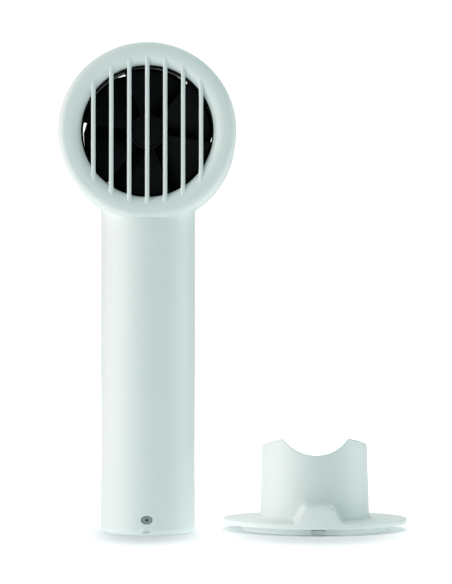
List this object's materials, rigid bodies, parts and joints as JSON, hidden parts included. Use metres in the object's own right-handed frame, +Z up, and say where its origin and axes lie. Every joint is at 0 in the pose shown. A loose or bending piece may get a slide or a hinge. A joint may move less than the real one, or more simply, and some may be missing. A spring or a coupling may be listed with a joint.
{
  "type": "handheld fan with stand",
  "caption": "Rechargeable hand fan with a round drum head behind upright bars, on a round handle, beside its loose round docking stand with a scooped collar.",
  "frame": {"origin": "middle of the flat foot of the fan's handle, on the table", "axes": "+Z up along the handle, -Y the way the fan blows, +X to the right as the fan is seen from the front, towards the stand"},
  "size_m": [0.1466, 0.0782, 0.2038],
  "materials": {
    "white_abs": "fine matt moulded",
    "black_plastic": "satin moulded",
    "grey_plastic": "satin moulded",
    "white_nylon": "satin moulded",
    "clear_lens": "polished clear plastic",
    "steel": "plated",
    "nickel": "plated strip",
    "bronze": "sintered",
    "copper": "enamelled wire and copper",
    "ferrite": "sintered",
    "cell_sleeve": "heat-shrunk sleeve",
    "foam": "open-cell foam",
    "board": "solder mask",
    "red_wire": "PVC insulation",
    "black_wire": "PVC insulation"
  },
  "bodies": {
    "housing": {"front_shell": "white_abs", "rear_shell": "white_abs", "front_grille": "white_abs", "rear_grille": "white_abs", "bottom_cap": "white_abs", "duct_frame": "black_plastic", "charge_chip": "black_plastic", "tact_switch": "black_plastic", "charge_socket": "grey_plastic", "motor_end_cap": "white_nylon", "indicator_led": "white_nylon", "indicator_lens": "clear_lens", "motor_can": "steel", "motor_screw_left": "steel", "motor_screw_right": "steel", "cap_screw_left": "steel", "cap_screw_right": "steel", "motor_terminal_left": "nickel", "motor_terminal_right": "nickel", "battery_tab_top": "nickel", "battery_tab_bottom": "nickel", "socket_pin": "nickel", "front_bush": "bronze", "rear_bush": "bronze", "brush_left": "copper", "brush_right": "copper", "magnet_upper": "ferrite", "magnet_lower": "ferrite", "battery_cell": "cell_sleeve", "battery_foam": "foam", "charge_board": "board", "switch_board": "board", "motor_wire_red": "red_wire", "charge_wire_red": "red_wire", "battery_wire_red": "red_wire", "motor_wire_black": "black_wire", "charge_wire_black": "black_wire", "battery_wire_black": "black_wire"},
    "rotor": {"impeller": "black_plastic", "hub_cap": "black_plastic", "motor_shaft": "steel", "armature": "copper", "commutator": "copper"},
    "power_button": {"power_button": "white_abs", "tact_plunger": "white_nylon"},
    "stand": {"stand_body": "white_abs", "stand_floor": "white_abs", "stand_screw_1": "steel", "stand_screw_2": "steel", "stand_screw_3": "steel"}
  },
  "joints": [
    {"name": "impeller_spin", "type": "hinge", "parent": "housing", "child": "rotor", "pos_m": [0, 0, 0.167], "axis": [0, -1, 0], "continuous": true},
    {"name": "button_press", "type": "slide", "parent": "housing", "child": "power_button", "axis": [0, -1, 0], "range_m": [0, 0.0003], "stiffness_N_per_m": 1500},
    {"name": "stand_place", "type": "slide", "parent": "housing", "child": "stand", "axis": [1, 0, 0], "range_m": [-0.008, 0.1]}
  ]
}
